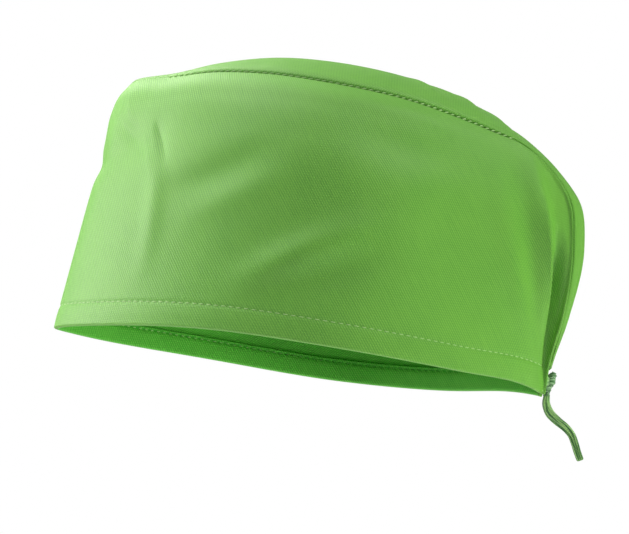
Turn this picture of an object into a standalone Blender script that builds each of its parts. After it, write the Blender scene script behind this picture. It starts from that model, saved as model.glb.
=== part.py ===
"""Sanitary cap of green cotton twill, in the form that it has on a head.

A deep side panel runs from one back seam round the brow to the other. A crown panel covers the
top and narrows to a tongue down the nape. The turned hem is a casing for a flat drawcord, tied
in a small knot at the nape, with one end hanging from it.

Metres, +Z up, the brow towards -Y and the wearer's left towards +X. The origin is the centre of
the head opening, in the plane of the hem.
"""
import math

import bmesh
import bpy
import numpy as np
from mathutils import Matrix, Vector

# Overall sizes of the worn cap
HEM_LENGTH = 0.238        # brow to nape, in the plane of the hem
HEM_WIDTH = 0.150         # across the temples
SEAM_HEIGHT = 0.125       # hem plane to the crown seam above the brow
CROWN_WIDTH = 0.122       # across the crown seam
CROWN_RISE = 0.0215       # top of the crown above the seam
CROWN_FULLNESS = 0.7      # 0.5 is a half ellipse across, 1 a flatter arch
PANEL_BULGE = 0.013       # how far the side panel stands out past a straight wall
HEM_ARCH = 0.003          # how far the hem lifts over the temples
HEM_SLOPE = math.radians(8.1)  # the hem is worn lower at the nape

# Cloth and clearances
CLOTH = 0.001             # wall of the twill
SEAT_GAP = 0.0003         # clearance between pieces that touch
SEAM_MITRE = 0.8          # how far a panel stops short of the seam, in cloth walls
FOLD_WIDTH = 0.010        # half width of a soft fold
FOLD_RISE = 0.003         # height of a soft fold

# Hem, drawcord and tie
HEM_DEPTH = 0.011
TAPE_WIDTH = 0.006
TAPE_THICKNESS = 0.001
TAPE_LEAD = 0.5           # share of its width to which the tape is drawn together at the knot
BACK_OPENING = 0.011      # between the two back seams, at the hem
KNOT_WIDTH = 0.0068
KNOT_DEPTH = 0.0066
KNOT_HEIGHT = 0.0106
KNOT_BEHIND = 0.0036      # from the end of the hem back to the knot's centre
KNOT_UP = 0.0069          # from the hem plane up to the knot's centre
KNOT_RIBS = 6
KNOT_RIB_DEPTH = 0.07     # share of the knot's radius
KNOT_TWIST = 1.1          # turns of the ribs, in radians from top to bottom
TIE_DIAMETER = 0.0036

# How pointed the opening is, seen from above: 0 is an ellipse and 1 a lens
BROW_POINT = 0.60
NAPE_POINT = 0.85

# Crown seam on the left, from the brow over the top and down the nape.
# path, back (share of hem length), out (of half the crown width), up (of the seam height),
# rise of the crown's middle (share of the crown rise), lean of that rise (degrees back)
SEAM = (
    (0.000, -0.426, 0.00, 0.990, 0.00, -10),
    (0.058, -0.399, 0.34, 0.972, 0.30, -6),
    (0.120, -0.328, 0.58, 0.976, 0.47, 8),
    (0.191, -0.240, 0.79, 0.995, 0.57, 2),
    (0.266, -0.134, 0.93, 1.000, 0.84, 0),
    (0.350, -0.013, 1.00, 0.990, 1.00, 0),
    (0.450, 0.136, 0.95, 0.974, 0.99, 6),
    (0.532, 0.248, 0.80, 0.950, 0.90, 19),
    (0.580, 0.313, 0.69, 0.932, 0.68, 36),
    (0.630, 0.379, 0.60, 0.893, 0.43, 58),
    (0.680, 0.439, 0.52, 0.818, 0.35, 64),
    (0.735, 0.495, 0.46, 0.720, 0.37, 73),
    (0.790, 0.512, 0.40, 0.570, 0.34, 76),
    (0.888, 0.516, 0.26, 0.304, 0.12, 88),
    (0.966, 0.503, 0.13, 0.106, 0.05, 90),
)
CORNER_PATH = 0.735       # where the seam turns from the top to the nape
TONGUE_END = 0.966        # where the tongue of the crown ends, above the knot

# Outward bulge of the side panel, as shares of PANEL_BULGE: up, at the brow, temple and nape
BULGE = (
    (0.00, 0.00, 0.00, 0.00),
    (0.25, 0.10, 0.40, 0.30),
    (0.50, 0.19, 0.80, 0.50),
    (0.75, 0.25, 1.00, 0.50),
    (0.88, 0.37, 0.80, 0.30),
    (0.95, 0.30, 0.46, 0.15),
    (1.00, 0.00, 0.00, 0.00),
)

# Lift of the hem along one side, as shares of HEM_ARCH
HEM_LIFT = ((0.0, -0.30), (0.2, -0.05), (0.4, 0.50), (0.6, 0.15), (0.76, 0.25), (0.88, 0.70), (1.0, 0.0))

# Soft folds of the side panel. around is 0 at the brow, 1 at the left back seam and -1 at the
# right one, and up is 0 at the hem and 1 at the crown seam.
# around and up of the start, the middle and the end, width share, rise share (negative: valley)
SIDE_FOLDS = (
    (0.26, 0.66, 0.256, 0.44, 0.258, 0.22, 0.9, 0.55),
    (0.32, 0.50, 0.38, 0.58, 0.44, 0.64, 0.8, -0.7),
    (0.39, 0.20, 0.48, 0.38, 0.59, 0.51, 0.9, 1.10),
    (0.53, 0.90, 0.61, 0.84, 0.71, 0.90, 0.8, -0.9),
    (0.18, 0.84, 0.21, 0.72, 0.245, 0.60, 0.60, -0.5),
    (0.05, 0.90, 0.12, 0.78, 0.19, 0.68, 0.7, -0.35),
    (-0.13, 0.68, 0.00, 0.66, 0.13, 0.67, 0.6, -0.55),
    (0.885, 0.88, 0.908, 0.66, 0.950, 0.20, 0.90, 1.30),
    (0.945, 0.76, 0.956, 0.46, 0.970, 0.16, 0.75, -1.3),
    (0.825, 0.82, 0.86, 0.53, 0.915, 0.20, 0.8, -0.5),
    (0.785, 0.84, 0.83, 0.50, 0.90, 0.16, 0.7, 0.4),
    (-0.24, 0.62, -0.25, 0.43, -0.27, 0.22, 0.9, 0.5),
    (-0.31, 0.56, -0.37, 0.62, -0.45, 0.66, 0.8, -0.6),
    (-0.36, 0.24, -0.46, 0.42, -0.58, 0.50, 0.9, 1.0),
    (-0.55, 0.88, -0.63, 0.83, -0.72, 0.89, 0.8, -0.8),
    (-0.17, 0.82, -0.20, 0.72, -0.23, 0.62, 0.60, -0.4),
    (-0.885, 0.86, -0.910, 0.64, -0.950, 0.20, 0.90, 1.2),
    (-0.945, 0.74, -0.956, 0.44, -0.970, 0.16, 0.75, -1.2),
    (-0.83, 0.80, -0.865, 0.50, -0.915, 0.20, 0.8, -0.5),
)

# Gathers of the crown. path runs along the seam, and across is -1 at the right seam and 1 at
# the left one. path and across of the start, the middle and the end, then the shares as above
CROWN_FOLDS = (
    (0.50, 0.96, 0.475, 0.70, 0.44, 0.30, 0.55, -0.6),
    (0.54, 0.96, 0.515, 0.66, 0.48, 0.20, 0.55, 0.5),
    (0.585, 0.96, 0.560, 0.66, 0.52, 0.25, 0.50, -0.6),
    (0.62, 0.94, 0.595, 0.60, 0.56, 0.20, 0.50, 0.4),
    (0.49, -0.96, 0.46, -0.66, 0.43, -0.25, 0.55, -0.5),
    (0.56, -0.96, 0.53, -0.60, 0.50, -0.15, 0.55, 0.5),
    (0.61, -0.96, 0.58, -0.62, 0.54, -0.25, 0.50, -0.5),
    (0.73, 0.50, 0.84, 0.48, 0.96, 0.45, 0.45, 0.4),
    (0.73, 0.00, 0.84, 0.02, 0.96, 0.00, 0.45, -0.4),
    (0.73, -0.50, 0.84, -0.52, 0.96, -0.45, 0.45, 0.4),
)
FOLD_MARGIN = 0.006       # folds die out over this distance from a seam

BRUSH_STEPS = 41          # places along the stroke of a fold

# Route of the tie end, back and up from the knot's centre as it hangs (metres)
TIE_ROUTE = (
    (-0.0012, -0.0054), (-0.0015, -0.0100), (0.0002, -0.0144), (0.0036, -0.0178),
    (0.0075, -0.0210), (0.0104, -0.0246), (0.0121, -0.0290), (0.0133, -0.0334),
    (0.0145, -0.0372),
)
TIE_POINTS = 12

# Grid sizes
SIDE_STATIONS = 44        # along one side, brow to back seam
SIDE_ROWS = 14
CROWN_COLUMNS = 13
END_DENSITY = 0.35        # how much closer the stations lie at the brow and the nape
KNOT_SEGMENTS = 24
KNOT_RINGS = 12


def smooth_table(rows, at):
    """Read every column of a table at the places at along its first column, with no corners."""
    table = np.array(rows, dtype=float)
    knots, values = table[:, 0], table[:, 1:]
    slopes = np.gradient(values, knots, axis=0)
    at = np.clip(np.asarray(at, dtype=float), knots[0], knots[-1])
    left = np.clip(np.searchsorted(knots, at, side="right") - 1, 0, len(knots) - 2)
    step = (knots[left + 1] - knots[left])[..., None]
    share = (at - knots[left])[..., None] / step
    rest = 1 - share
    ends = values[left] * (1 + 2 * share) * rest ** 2 + values[left + 1] * (3 - 2 * share) * share ** 2
    bends = slopes[left] * share * rest ** 2 - slopes[left + 1] * share ** 2 * rest
    return ends + step * bends


def unit(vectors):
    return vectors / np.maximum(np.linalg.norm(vectors, axis=-1, keepdims=True), 1e-12)


def hem_plan(around):
    """Place in the hem's plane: around is 0 at the brow and 1 at the left back seam."""
    gap = BACK_OPENING / HEM_WIDTH
    round_share = 1 - NAPE_POINT
    sine = (math.sqrt(round_share ** 2 + 4 * NAPE_POINT * gap) - round_share) / (2 * NAPE_POINT)
    end = math.pi - math.asin(sine)
    angle = np.asarray(around) * end
    point = np.where(angle < math.pi / 2, BROW_POINT, NAPE_POINT)
    out = HEM_WIDTH / 2 * np.sin(angle) * (1 - point + point * np.sin(angle))
    back = HEM_LENGTH * ((1 - np.cos(angle)) / (1 - math.cos(end)) - 0.5)
    return out, back


def hem_line(around):
    out, back = hem_plan(around)
    lift = smooth_table(HEM_LIFT, around)[..., 0] * HEM_ARCH
    return np.stack([out, back, lift], axis=-1)


def hem_outward(around):
    """Level unit vector that points away from the head."""
    step = 1e-3
    here = np.clip(np.asarray(around), step, 1 - step)
    out_after, back_after = hem_plan(here + step)
    out_before, back_before = hem_plan(here - step)
    level = np.stack([back_after - back_before, out_before - out_after, 0 * here], axis=-1)
    return unit(level)


def seam_line(path):
    """Crown seam on the left; past the tongue it goes on to the end of the hem."""
    table = np.array(SEAM)
    places = table[:, 1:4] * (HEM_LENGTH, CROWN_WIDTH / 2, SEAM_HEIGHT)
    out, back = hem_plan(1.0)
    rows = [(way, *place) for way, place in zip(table[:, 0], places)] + [(1.0, back, out, 0.0)]
    place = smooth_table(rows, path)
    return place[..., [1, 0, 2]]


def crown_lift(path):
    """Vector from the chord between the two seams to the middle of the crown."""
    columns = smooth_table([(row[0], row[4], row[5]) for row in SEAM], path)
    rise = columns[..., 0] * CROWN_RISE
    lean = np.radians(columns[..., 1])
    return np.stack([0 * rise, rise * np.sin(lean), rise * np.cos(lean)], axis=-1)


def brush(folds, first, second, first_length, second_length):
    """Height of soft folds over a grid. Each fold is the stroke of a soft round brush."""
    height = np.zeros(np.broadcast(first, second).shape)
    for start_a, start_b, mid_a, mid_b, end_a, end_b, width, rise in folds:
        stroke = np.zeros_like(height)
        for share in np.linspace(0, 1, BRUSH_STEPS):
            ends = (1 - share) ** 2, 2 * share * (1 - share), share ** 2
            bend_a = 2 * mid_a - (start_a + end_a) / 2
            bend_b = 2 * mid_b - (start_b + end_b) / 2
            at_a = ends[0] * start_a + ends[1] * bend_a + ends[2] * end_a
            at_b = ends[0] * start_b + ends[1] * bend_b + ends[2] * end_b
            away = ((first - at_a) * first_length) ** 2 + ((second - at_b) * second_length) ** 2
            fade = math.sin(math.pi * (0.08 + 0.84 * share))
            stroke = np.maximum(stroke, fade * np.exp(-away / (width * FOLD_WIDTH) ** 2))
        height += rise * FOLD_RISE * stroke
    return height


def facing_out(face, first, second):
    """Unit normals of a face function, from its slopes on both sides of each place."""
    step = 2e-3
    along = face(first + step, second) - face(first - step, second)
    across = face(first, second + step) - face(first, second - step)
    return unit(np.cross(along, across))


def ease(distance):
    """0 at an edge, 1 from the fold margin inwards."""
    share = np.clip(distance / FOLD_MARGIN, 0, 1)
    return share * share * (3 - 2 * share)


def side_base(around, up):
    """Outer face of the side panel with no folds. around is signed, left side positive."""
    side = np.where(around < 0, -1.0, 1.0)[..., None] * (1, 0, 0) + (0, 1, 1)
    share = np.abs(around)
    low = hem_line(share)
    high = seam_line(share * CORNER_PATH)
    columns = smooth_table(BULGE, up)
    ahead = np.cos(math.pi * share)
    bulge = (columns[..., 0] * np.maximum(ahead, 0) ** 2 + columns[..., 1] * (1 - ahead ** 2)
             + columns[..., 2] * np.minimum(ahead, 0) ** 2) * PANEL_BULGE
    wall = low + (high - low) * up[..., None] + hem_outward(share) * bulge[..., None]
    end_low, end_high = hem_line(1.0), seam_line(CORNER_PATH)
    end_bulge = (columns[..., 2] * PANEL_BULGE)[..., None] * hem_outward(1.0)
    end_wall = end_low + (end_high - end_low) * up[..., None] + end_bulge
    back_seam = seam_line(1 - up * (1 - CORNER_PATH))
    return (wall + (share ** 7)[..., None] * (back_seam - end_wall)) * side


def side_stations():
    """Stations of one side, 0 at the brow and 1 at the back seam, closer at both ends."""
    even = np.linspace(0, 1, SIDE_STATIONS + 1)
    return even - END_DENSITY * np.sin(2 * math.pi * even) / (2 * math.pi)


def both_sides(stations):
    return np.concatenate([-stations[:0:-1], stations])


def half_girth():
    around = np.linspace(0, 1, 80)
    return np.linalg.norm(np.diff(hem_line(around), axis=0), axis=-1).sum()


def side_face(around, up):
    """Outer face of the side panel with its folds."""
    height = brush(SIDE_FOLDS, around, up, half_girth(), SEAM_HEIGHT)
    height = height * ease((1 - np.abs(around)) * half_girth()) * ease((1 - up) * SEAM_HEIGHT)
    return side_base(around, up) + facing_out(side_base, around, up) * height[..., None]


def crown_base(path, across):
    seam = seam_line(path)
    flat = seam * np.stack([across, 1 + 0 * across, 1 + 0 * across], axis=-1)
    dome = np.maximum(1 - across ** 2, 0) ** CROWN_FULLNESS
    return flat + crown_lift(path) * dome[..., None]


def crown_face(path, across):
    """Outer face of the crown panel with its gathers; across is 1 at the left seam."""
    seam_length = half_girth() * CROWN_WIDTH / HEM_WIDTH / CORNER_PATH
    height = brush(CROWN_FOLDS, path, across, seam_length, CROWN_WIDTH / 2)
    height = height * ease((1 - np.abs(across)) * CROWN_WIDTH / 2)
    return crown_base(path, across) - facing_out(crown_base, path, across) * height[..., None]


def panel_height(around):
    """Height of the side panel at a station."""
    share = np.abs(around)
    return seam_line(share * CORNER_PATH)[..., 2] - hem_line(share)[..., 2]


def seam_setback(seam, beside):
    """How far to stop short of a seam, in steps from it to the places beside it, so that the
    clearance square to the seam is the same all along."""
    along = unit(np.gradient(seam, axis=0))
    step = beside - seam
    square = np.linalg.norm(np.cross(along, step), axis=-1)
    return (SEAM_MITRE * CLOTH + SEAT_GAP) / square


def side_grid():
    """Grid of the side panel, right back seam to left back seam, hem fold to crown seam."""
    across, rows = both_sides(side_stations()), np.linspace(0, 1, SIDE_ROWS + 1)
    step = 0.02
    back_seam = side_base(1 + 0 * rows, rows)
    ends = step * seam_setback(back_seam, side_base(1 - step + 0 * rows, rows))
    stations, rows = np.meshgrid(across, rows, indexing="ij")
    around = stations * (1 - ends)
    top_seam = side_base(across, 1 + 0 * across)
    edges = step * seam_setback(top_seam, side_base(across, 1 - step + 0 * across))
    low = (CLOTH + SEAT_GAP) / panel_height(around)
    high = 1 - edges[:, None]
    return side_face(around, low + (high - low) * rows)


def crown_grid():
    """Grid of the crown panel, brow to the end of the tongue, left seam to right seam. Its
    stations are those of the side panel along the top and its rows down the nape."""
    top = side_stations() * CORNER_PATH
    nape = np.linspace(CORNER_PATH, 1, SIDE_ROWS + 1)
    stations = np.concatenate([top, nape[1:][nape[1:] < TONGUE_END], [TONGUE_END]])
    turn = np.linspace(math.pi / 2, -math.pi / 2, CROWN_COLUMNS + 1)
    path, across = np.meshgrid(stations, np.sin(turn), indexing="ij")
    return crown_face(path, across)


def hem_rail(section):
    """Sweep a section round the hem. Each of its points is a depth in from the outer face and a
    height above the hem's edge."""
    depth, height = np.array(section).T
    ends = 1 - (SEAM_MITRE * CLOTH + SEAT_GAP) / half_girth()
    around, inset = np.meshgrid(both_sides(side_stations()) * ends, depth, indexing="ij")
    up = height[None, :] / panel_height(around)
    return side_face(around, up) - facing_out(side_face, around, up) * inset[..., None]


def casing_section():
    inner = 2 * CLOTH + TAPE_THICKNESS + 2 * SEAT_GAP
    corner = CLOTH / 2
    return (
        (0, CLOTH), (0, corner), (corner, 0), (inner - corner, 0), (inner, corner),
        (inner, HEM_DEPTH - corner), (inner - corner, HEM_DEPTH), (CLOTH + SEAT_GAP, HEM_DEPTH),
        (CLOTH + SEAT_GAP, HEM_DEPTH - CLOTH), (inner - CLOTH, HEM_DEPTH - CLOTH),
        (inner - CLOTH, CLOTH),
    )


def tape_section():
    near = CLOTH + SEAT_GAP
    low = (HEM_DEPTH - TAPE_WIDTH) / 2
    far, high = near + TAPE_THICKNESS, low + TAPE_WIDTH
    return (near, low), (far, low), (far, high), (near, high)


def knot_centre():
    return np.array([0, hem_plan(1.0)[1] + KNOT_BEHIND, KNOT_UP])


def tape_rail():
    """The drawcord in its casing, with both ends led out to the knot's sides."""
    rail = hem_rail(tape_section())
    depth, height = np.array(tape_section()).T
    behind = depth.mean() - depth
    above = (height - height.mean()) * TAPE_LEAD
    aside = KNOT_WIDTH / 2 + SEAT_GAP + 0 * depth
    right, left = (knot_centre() + np.stack([side * aside, behind, above], axis=-1)
                   for side in (-1, 1))
    return np.concatenate([[right], rail, [left]])


def cloth_object(name, grid, material):
    """Closed wall of cloth behind a grid of its outer face."""
    width = grid.shape[1]
    faces = [(i * width + j, (i + 1) * width + j, (i + 1) * width + j + 1, i * width + j + 1)
             for i in range(grid.shape[0] - 1) for j in range(width - 1)]
    piece = mesh_object(name, grid, faces, material)
    wall = piece.modifiers.new("cloth", "SOLIDIFY")
    wall.thickness = CLOTH
    wall.offset = -1
    wall.use_even_offset = True
    return piece


def swept_object(name, rings, material):
    """Closed solid through rings of points, with flat ends."""
    count, width = rings.shape[:2]
    faces = [(i * width + j, (i + 1) * width + j, (i + 1) * width + (j + 1) % width,
              i * width + (j + 1) % width) for i in range(count - 1) for j in range(width)]
    faces += [range(width), range((count - 1) * width, count * width)]
    return mesh_object(name, rings, faces, material)


def mesh_object(name, points, faces, material):
    mesh = bpy.data.meshes.new(name)
    mesh.from_pydata(points.reshape(-1, 3).tolist(), [], faces)
    body = bmesh.new()
    body.from_mesh(mesh)
    bmesh.ops.remove_doubles(body, verts=body.verts, dist=1e-5)
    if not any(edge.is_boundary for edge in body.edges):
        bmesh.ops.recalc_face_normals(body, faces=body.faces)
    body.to_mesh(mesh)
    body.free()
    mesh.shade_smooth()
    mesh.materials.append(material)
    piece = bpy.data.objects.new(name, mesh)
    bpy.context.collection.objects.link(piece)
    return piece


def knot_object(material):
    """Overhand knot pulled tight: a small upright body with slanting ribs."""
    turn, rise = np.meshgrid(np.linspace(0, 2 * math.pi, KNOT_SEGMENTS, endpoint=False),
                             np.linspace(-1, 1, KNOT_RINGS + 1)[1:-1], indexing="xy")
    tilt = rise * math.pi / 2
    rib = 1 - KNOT_RIB_DEPTH * (0.5 - 0.5 * np.cos(KNOT_RIBS * (turn + KNOT_TWIST * rise)))
    rings = np.stack([np.cos(turn) * np.cos(tilt) * rib * KNOT_WIDTH / 2,
                      np.sin(turn) * np.cos(tilt) * rib * KNOT_DEPTH / 2,
                      np.sin(tilt) * KNOT_HEIGHT / 2], axis=-1)
    return swept_object("tie_knot", rings + knot_centre(), material)


def tie_object(start, material):
    """The free end of the drawcord, hanging below the knot."""
    curve = bpy.data.curves.new("tie_end", "CURVE")
    curve.dimensions = "3D"
    curve.bevel_depth = TIE_DIAMETER / 2
    curve.bevel_resolution = 2
    curve.use_fill_caps = True
    rows = [(place, *offset) for place, offset in enumerate(TIE_ROUTE)]
    spline = curve.splines.new("POLY")
    spline.points.add(TIE_POINTS - 1)
    for point, place in zip(spline.points, np.linspace(0, len(rows) - 1, TIE_POINTS)):
        back, up = smooth_table(rows, place)
        point.co = (start[0], start[1] + back, start[2] + up, 1)
    curve.materials.append(material)
    piece = bpy.data.objects.new("tie_end", curve)
    bpy.context.collection.objects.link(piece)
    return piece


def twill(name, colour, roughness=0.9):
    material = bpy.data.materials.new(name)
    material.use_nodes = True
    shader = material.node_tree.nodes["Principled BSDF"]
    shader.inputs["Base Color"].default_value = (*colour, 1)
    shader.inputs["Roughness"].default_value = roughness
    shader.inputs["Metallic"].default_value = 0
    return material


def main():
    for old in list(bpy.data.objects):
        bpy.data.objects.remove(old)
    worn = bpy.data.objects.new("worn_pose", None)
    worn.rotation_euler.x = -HEM_SLOPE
    bpy.context.collection.objects.link(worn)
    pieces = (
        cloth_object("side_panel", side_grid(), twill("side_twill", (0.17, 0.42, 0.08))),
        cloth_object("crown_panel", crown_grid(), twill("crown_twill", (0.21, 0.46, 0.11))),
        swept_object("hem_casing", hem_rail(casing_section()), twill("hem_twill", (0.15, 0.38, 0.07))),
        swept_object("drawcord", tape_rail(), twill("cord_braid", (0.14, 0.34, 0.09), 0.7)),
        knot_object(twill("knot_braid", (0.16, 0.36, 0.12), 0.7)),
    )
    for piece in pieces:
        piece.parent = worn
    knot = Matrix.Rotation(-HEM_SLOPE, 3, "X") @ Vector(knot_centre())
    tie_object(knot, twill("tie_braid", (0.14, 0.34, 0.09), 0.7))


main()
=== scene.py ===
# %% [markdown]
# # A sanitary cap of green cotton twill
# The cap is sewn from two pieces of cloth: a deep side panel that goes round the head, and a crown
# panel that covers the top and narrows to a tongue down the nape. The lower edge is turned up and
# stitched, and the casing holds a flat cord that is knotted at the back.
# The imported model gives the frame: all places below are in metres in that frame, with +Z up, the
# brow towards -Y and the wearer's left side towards +X.

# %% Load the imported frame
import math

import bpy
import numpy as np
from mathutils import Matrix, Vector


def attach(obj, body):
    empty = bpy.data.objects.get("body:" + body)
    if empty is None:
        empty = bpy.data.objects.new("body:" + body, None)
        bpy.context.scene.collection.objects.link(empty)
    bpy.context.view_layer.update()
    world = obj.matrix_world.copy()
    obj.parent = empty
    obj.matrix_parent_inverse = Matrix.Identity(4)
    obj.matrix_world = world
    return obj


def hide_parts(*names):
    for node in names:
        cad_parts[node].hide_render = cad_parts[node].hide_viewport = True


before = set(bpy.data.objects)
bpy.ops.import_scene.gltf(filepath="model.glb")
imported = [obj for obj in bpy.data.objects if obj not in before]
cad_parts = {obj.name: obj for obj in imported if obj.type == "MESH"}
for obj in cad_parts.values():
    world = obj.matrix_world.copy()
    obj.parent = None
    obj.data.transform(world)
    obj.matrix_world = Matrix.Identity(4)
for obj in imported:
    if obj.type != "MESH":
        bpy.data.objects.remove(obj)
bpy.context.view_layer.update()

scene = bpy.context.scene
print("nodes:", sorted(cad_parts))

# %% [markdown]
# ## The camera
# The far edge of the hem shows under the near one, so the camera stands lower than the hem and
# looks slightly up. A long lens keeps the side of the cap almost as flat as a drawing.

# %% Set the camera
CAP_MIDDLE = 0.0079       # Y of the middle of the worn cap
EYE = Vector((0.95, CAP_MIDDLE, -0.104))
AIM = Vector((0.0, CAP_MIDDLE, 0.046))
PIXEL = 0.485e-3          # size of a pixel on the cap's middle plane
FRAME_PIXELS = 629

lens = bpy.data.cameras.new("view")
lens.sensor_width = 36
lens.lens = lens.sensor_width * (AIM - EYE).length / (FRAME_PIXELS * PIXEL)
camera = bpy.data.objects.new("view", lens)
camera.location = EYE
camera.rotation_euler = (AIM - EYE).to_track_quat("-Z", "Y").to_euler()
scene.collection.objects.link(camera)
scene.camera = camera
scene.view_settings.view_transform = "Standard"
print(f"lens {lens.lens:.1f} mm")

# %% [markdown]
# ## Helpers for modelling
# Every operator works on what is selected, and the loaded nodes come in selected, so each step
# starts by selecting nothing. A finished piece keeps its place in its mesh, with its object at the
# origin, as the nodes do.

# %% Selection, modifiers and riding
def pick_only(piece):
    bpy.ops.object.select_all(action="DESELECT")
    piece.select_set(True)
    bpy.context.view_layer.objects.active = piece


def merge_doubles(piece, threshold):
    """Merge points that lie together, and leave the piece in edit mode with all selected."""
    pick_only(piece)
    bpy.ops.object.mode_set(mode="EDIT")
    bpy.ops.mesh.select_all(action="SELECT")
    bpy.ops.mesh.remove_doubles(threshold=threshold)


def apply_modifier(piece, kind, **settings):
    pick_only(piece)
    bpy.ops.object.modifier_add(type=kind)
    modifier = piece.modifiers[-1]
    for name, value in settings.items():
        setattr(modifier, name, value)
    bpy.ops.object.modifier_apply(modifier=modifier.name)


def seat(piece, slot, *nodes):
    """Ride on the root and stand for the nodes, which are hidden. The slot is not used."""
    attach(piece, "root")
    if nodes:
        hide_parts(*nodes)
    print(f"{piece.name}: {len(piece.data.polygons)} faces")


# %% [markdown]
# ## The form of the head
# The cloth follows a few plain curves: the oval of the hem, the crown seam, and the bulge of the
# wall between them. They are tables of shares with a smooth reading, so the same form can be read
# at any fineness. The plain solids of the frame have the same form, to within about 3 mm.

# %% Sizes of the worn cap
HEM_LENGTH = 0.238        # brow to nape, in the plane of the hem
HEM_WIDTH = 0.150         # across the temples
SEAM_HEIGHT = 0.125       # hem plane to the crown seam above the brow
CROWN_WIDTH = 0.122       # across the crown seam
CROWN_RISE = 0.0215       # top of the crown above the seam
CROWN_FULLNESS = 0.7
PANEL_BULGE = 0.013
HEM_ARCH = 0.003
HEM_SLOPE = math.radians(8.1)
BACK_OPENING = 0.011      # between the two back seams, at the hem
BROW_POINT = 0.60         # how pointed the opening is: 0 is an ellipse and 1 a lens
NAPE_POINT = 0.85
CORNER_PATH = 0.735       # where the seam turns from the top to the nape
TONGUE_END = 0.966
FOLD_WIDTH = 0.010
FOLD_RISE = 0.003
FOLD_MARGIN = 0.006
HEM_DEPTH = 0.011
KNOT_BEHIND = 0.0036
KNOT_UP = 0.0069

# path, back, out, up, rise of the crown's middle, lean of that rise in degrees
SEAM = (
    (0.000, -0.426, 0.00, 0.990, 0.00, -10),
    (0.058, -0.399, 0.34, 0.972, 0.18, -6),
    (0.120, -0.328, 0.58, 0.976, 0.34, 8),
    (0.191, -0.240, 0.79, 0.995, 0.57, 2),
    (0.266, -0.134, 0.93, 1.000, 0.84, 0),
    (0.350, -0.013, 1.00, 0.990, 1.00, 0),
    (0.450, 0.136, 0.95, 0.974, 0.99, 6),
    (0.532, 0.248, 0.80, 0.950, 0.90, 19),
    (0.580, 0.313, 0.69, 0.932, 0.68, 36),
    (0.630, 0.384, 0.60, 0.902, 0.43, 58),
    (0.680, 0.447, 0.52, 0.828, 0.35, 64),
    (0.735, 0.495, 0.46, 0.720, 0.37, 73),
    (0.790, 0.512, 0.40, 0.570, 0.34, 76),
    (0.888, 0.516, 0.26, 0.304, 0.12, 88),
    (0.966, 0.503, 0.13, 0.106, 0.05, 90),
)

# up, then the bulge at the brow, temple and nape
BULGE = (
    (0.00, 0.00, 0.00, 0.00),
    (0.25, 0.10, 0.40, 0.30),
    (0.50, 0.19, 0.80, 0.50),
    (0.75, 0.25, 1.00, 0.50),
    (0.88, 0.35, 0.83, 0.30),
    (0.95, 0.25, 0.55, 0.15),
    (1.00, 0.00, 0.00, 0.00),
)

# around, then the lift of the hem's edge as a share of its arch
HEM_LIFT = (
    (0.0, -0.30), (0.2, -0.05), (0.4, 0.50), (0.6, 0.15), (0.76, 0.25), (0.88, 0.70), (1.0, 0.0),
)


# %% Read the curves
def smooth_table(rows, at):
    """Read every column of a table at places along its first column, with no corners."""
    table = np.array(rows, dtype=float)
    knots, values = table[:, 0], table[:, 1:]
    slopes = np.gradient(values, knots, axis=0)
    at = np.clip(np.asarray(at, dtype=float), knots[0], knots[-1])
    left = np.clip(np.searchsorted(knots, at, side="right") - 1, 0, len(knots) - 2)
    step = (knots[left + 1] - knots[left])[..., None]
    share = (at - knots[left])[..., None] / step
    rest = 1 - share
    ends = values[left] * (1 + 2 * share) * rest ** 2 + values[left + 1] * (3 - 2 * share) * share ** 2
    bends = slopes[left] * share * rest ** 2 - slopes[left + 1] * share ** 2 * rest
    return ends + step * bends


def unit(vectors):
    return vectors / np.maximum(np.linalg.norm(vectors, axis=-1, keepdims=True), 1e-12)


# %% Lines of the hem and the crown seam
def hem_plan(around):
    """Place in the hem's plane: around is 0 at the brow and 1 at the left back seam."""
    gap = BACK_OPENING / HEM_WIDTH
    round_share = 1 - NAPE_POINT
    sine = (math.sqrt(round_share ** 2 + 4 * NAPE_POINT * gap) - round_share) / (2 * NAPE_POINT)
    end = math.pi - math.asin(sine)
    angle = np.asarray(around) * end
    point = np.where(angle < math.pi / 2, BROW_POINT, NAPE_POINT)
    out = HEM_WIDTH / 2 * np.sin(angle) * (1 - point + point * np.sin(angle))
    back = HEM_LENGTH * ((1 - np.cos(angle)) / (1 - math.cos(end)) - 0.5)
    return out, back


def hem_line(around):
    out, back = hem_plan(around)
    lift = smooth_table(HEM_LIFT, around)[..., 0] * HEM_ARCH
    return np.stack([out, back, lift], axis=-1)


def hem_outward(around):
    step = 1e-3
    here = np.clip(np.asarray(around), step, 1 - step)
    out_after, back_after = hem_plan(here + step)
    out_before, back_before = hem_plan(here - step)
    return unit(np.stack([back_after - back_before, out_before - out_after, 0 * here], axis=-1))


def seam_line(path):
    """Crown seam on the left; past the tongue it goes on to the end of the hem."""
    table = np.array(SEAM)
    places = table[:, 1:4] * (HEM_LENGTH, CROWN_WIDTH / 2, SEAM_HEIGHT)
    out, back = hem_plan(1.0)
    rows = [(way, *place) for way, place in zip(table[:, 0], places)] + [(1.0, back, out, 0.0)]
    return smooth_table(rows, path)[..., [1, 0, 2]]


def crown_lift(path):
    columns = smooth_table([(row[0], row[4], row[5]) for row in SEAM], path)
    rise = columns[..., 0] * CROWN_RISE
    lean = np.radians(columns[..., 1])
    return np.stack([0 * rise, rise * np.sin(lean), rise * np.cos(lean)], axis=-1)


# %% Tilt the cap and measure along it
def tilted(points, angle):
    x, y, z = np.moveaxis(np.asarray(points, dtype=float), -1, 0)
    cosine, sine = math.cos(angle), math.sin(angle)
    return np.stack([x, y * cosine + z * sine, z * cosine - y * sine], axis=-1)


def worn(points):
    """Tilt the level cap to the slope at which it is worn."""
    return tilted(points, HEM_SLOPE)


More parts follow.
